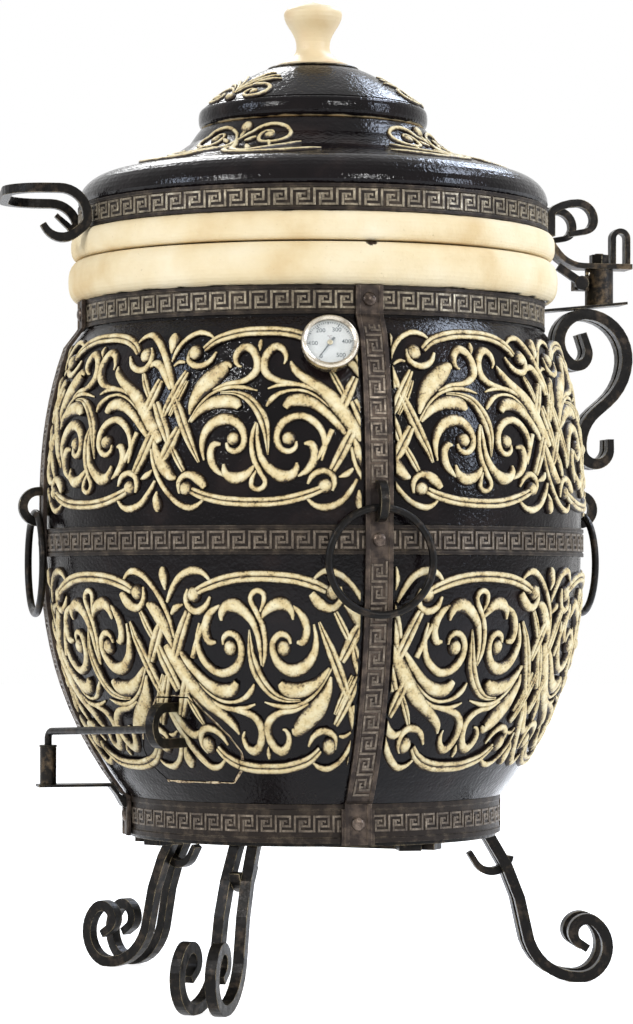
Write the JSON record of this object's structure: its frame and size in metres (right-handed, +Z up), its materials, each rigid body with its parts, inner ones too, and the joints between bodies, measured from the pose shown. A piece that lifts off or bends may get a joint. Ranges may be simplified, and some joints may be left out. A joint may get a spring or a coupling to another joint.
{
  "type": "clay tandoor oven",
  "caption": "Glazed clay barrel oven bound in hoops and straps, with a swing-aside domed lid, vent lid, thermometer, ash door, ring handles and a forged scroll stand.",
  "frame": {"origin": "on the pot's vertical axis at floor level", "axes": "+Z up; -Y towards the viewer, the side with the thermometer and the ash door; +X towards the lid's hinge"},
  "size_m": [0.7103, 0.644, 1.0925],
  "materials": {
    "glazed_clay": "gloss",
    "pressed_band": "satin",
    "forged_iron": "satin",
    "rivet": "satin",
    "steel": "satin",
    "cast_grate": "matte",
    "dial_face": "satin",
    "dial_glass": "gloss",
    "needle_paint": "satin",
    "knob_clay": "satin",
    "bolt_steel": "satin"
  },
  "bodies": {
    "oven": {"clay_pot": "glazed_clay", "hoop_top": "pressed_band", "hoop_middle": "pressed_band", "hoop_bottom": "pressed_band", "strap_front": "pressed_band", "strap_right": "pressed_band", "strap_back": "pressed_band", "strap_left": "pressed_band", "strap_rivets": "rivet", "staple_front": "forged_iron", "staple_right": "forged_iron", "staple_back": "forged_iron", "staple_left": "forged_iron", "stand_ring": "forged_iron", "stand_cross": "forged_iron", "leg_rear_left": "forged_iron", "leg_front": "forged_iron", "leg_right": "forged_iron", "door_barrel": "forged_iron", "door_plate": "forged_iron", "hinge_shelf": "forged_iron", "hinge_barrel": "forged_iron", "hinge_bracket": "forged_iron", "thermometer_case": "steel", "thermometer_bezel": "steel", "thermometer_stem": "steel", "thermometer_nut": "steel", "thermometer_dial": "dial_face", "thermometer_glass": "dial_glass"},
    "lid_pin": {"hinge_pin": "forged_iron", "hinge_nut": "forged_iron"},
    "lid": {"lid_shell": "glazed_clay", "lid_hoop": "pressed_band", "lid_arm": "forged_iron", "lid_loop": "forged_iron", "lid_scrolls": "forged_iron", "lid_handle": "forged_iron"},
    "small_lid": {"small_lid": "glazed_clay", "knob_plate": "forged_iron", "knob": "knob_clay", "knob_bolt": "bolt_steel", "knob_nut": "bolt_steel"},
    "ash_door": {"ash_door": "glazed_clay", "door_loop": "forged_iron", "door_nuts": "bolt_steel", "door_rod": "forged_iron", "door_washer": "forged_iron"},
    "clamp_screw": {"clamp_screw": "forged_iron"},
    "grate": {"fire_grate": "cast_grate"},
    "needle": {"thermometer_needle": "needle_paint"},
    "ring_front": {"ring_front": "forged_iron"},
    "ring_right": {"ring_right": "forged_iron"},
    "ring_back": {"ring_back": "forged_iron"},
    "ring_left": {"ring_left": "forged_iron"}
  },
  "joints": [
    {"name": "lid_lift", "type": "slide", "parent": "oven", "child": "lid_pin", "axis": [0, 0, 1], "range_m": [0, 0.03]},
    {"name": "lid_swing", "type": "hinge", "parent": "lid_pin", "child": "lid", "pos_m": [0.32447, 0.07491, 0.8], "axis": [0, 0, 1], "range_deg": [-150, 150]},
    {"name": "small_lid_lift", "type": "slide", "parent": "lid", "child": "small_lid", "axis": [0, 0, 1], "range_m": [0, 0.15]},
    {"name": "ash_door_swing", "type": "hinge", "parent": "oven", "child": "ash_door", "pos_m": [-0.28939, -0.06681, 0.26], "axis": [0, 0, -1], "range_deg": [0, 110]},
    {"name": "clamp_turn", "type": "hinge", "parent": "oven", "child": "clamp_screw", "pos_m": [0.30108, 0.06951, 0.7855], "axis": [0.225, -0.9744, 0], "range_deg": [0, 60]},
    {"name": "grate_lift", "type": "slide", "parent": "oven", "child": "grate", "axis": [0, 0, 1], "range_m": [0, 0.26]},
    {"name": "needle_turn", "type": "hinge", "parent": "oven", "child": "needle", "pos_m": [0.01745, -0.29381, 0.69163], "axis": [-0.0554, 0.9319, -0.3584], "range_deg": [-2, 284]},
    {"name": "ring_front_swing", "type": "hinge", "parent": "oven", "child": "ring_front", "pos_m": [0.06997, -0.30307, 0.5227], "axis": [-0.9744, -0.225, 0], "range_deg": [-3, 150]},
    {"name": "ring_right_swing", "type": "hinge", "parent": "oven", "child": "ring_right", "pos_m": [0.30307, 0.06997, 0.5227], "axis": [0.225, -0.9744, 0], "range_deg": [-3, 150]},
    {"name": "ring_back_swing", "type": "hinge", "parent": "oven", "child": "ring_back", "pos_m": [-0.06997, 0.30307, 0.5227], "axis": [0.9744, 0.225, 0], "range_deg": [-3, 150]},
    {"name": "ring_left_swing", "type": "hinge", "parent": "oven", "child": "ring_left", "pos_m": [-0.30307, -0.06997, 0.5227], "axis": [-0.225, 0.9744, 0], "range_deg": [-3, 150]}
  ]
}
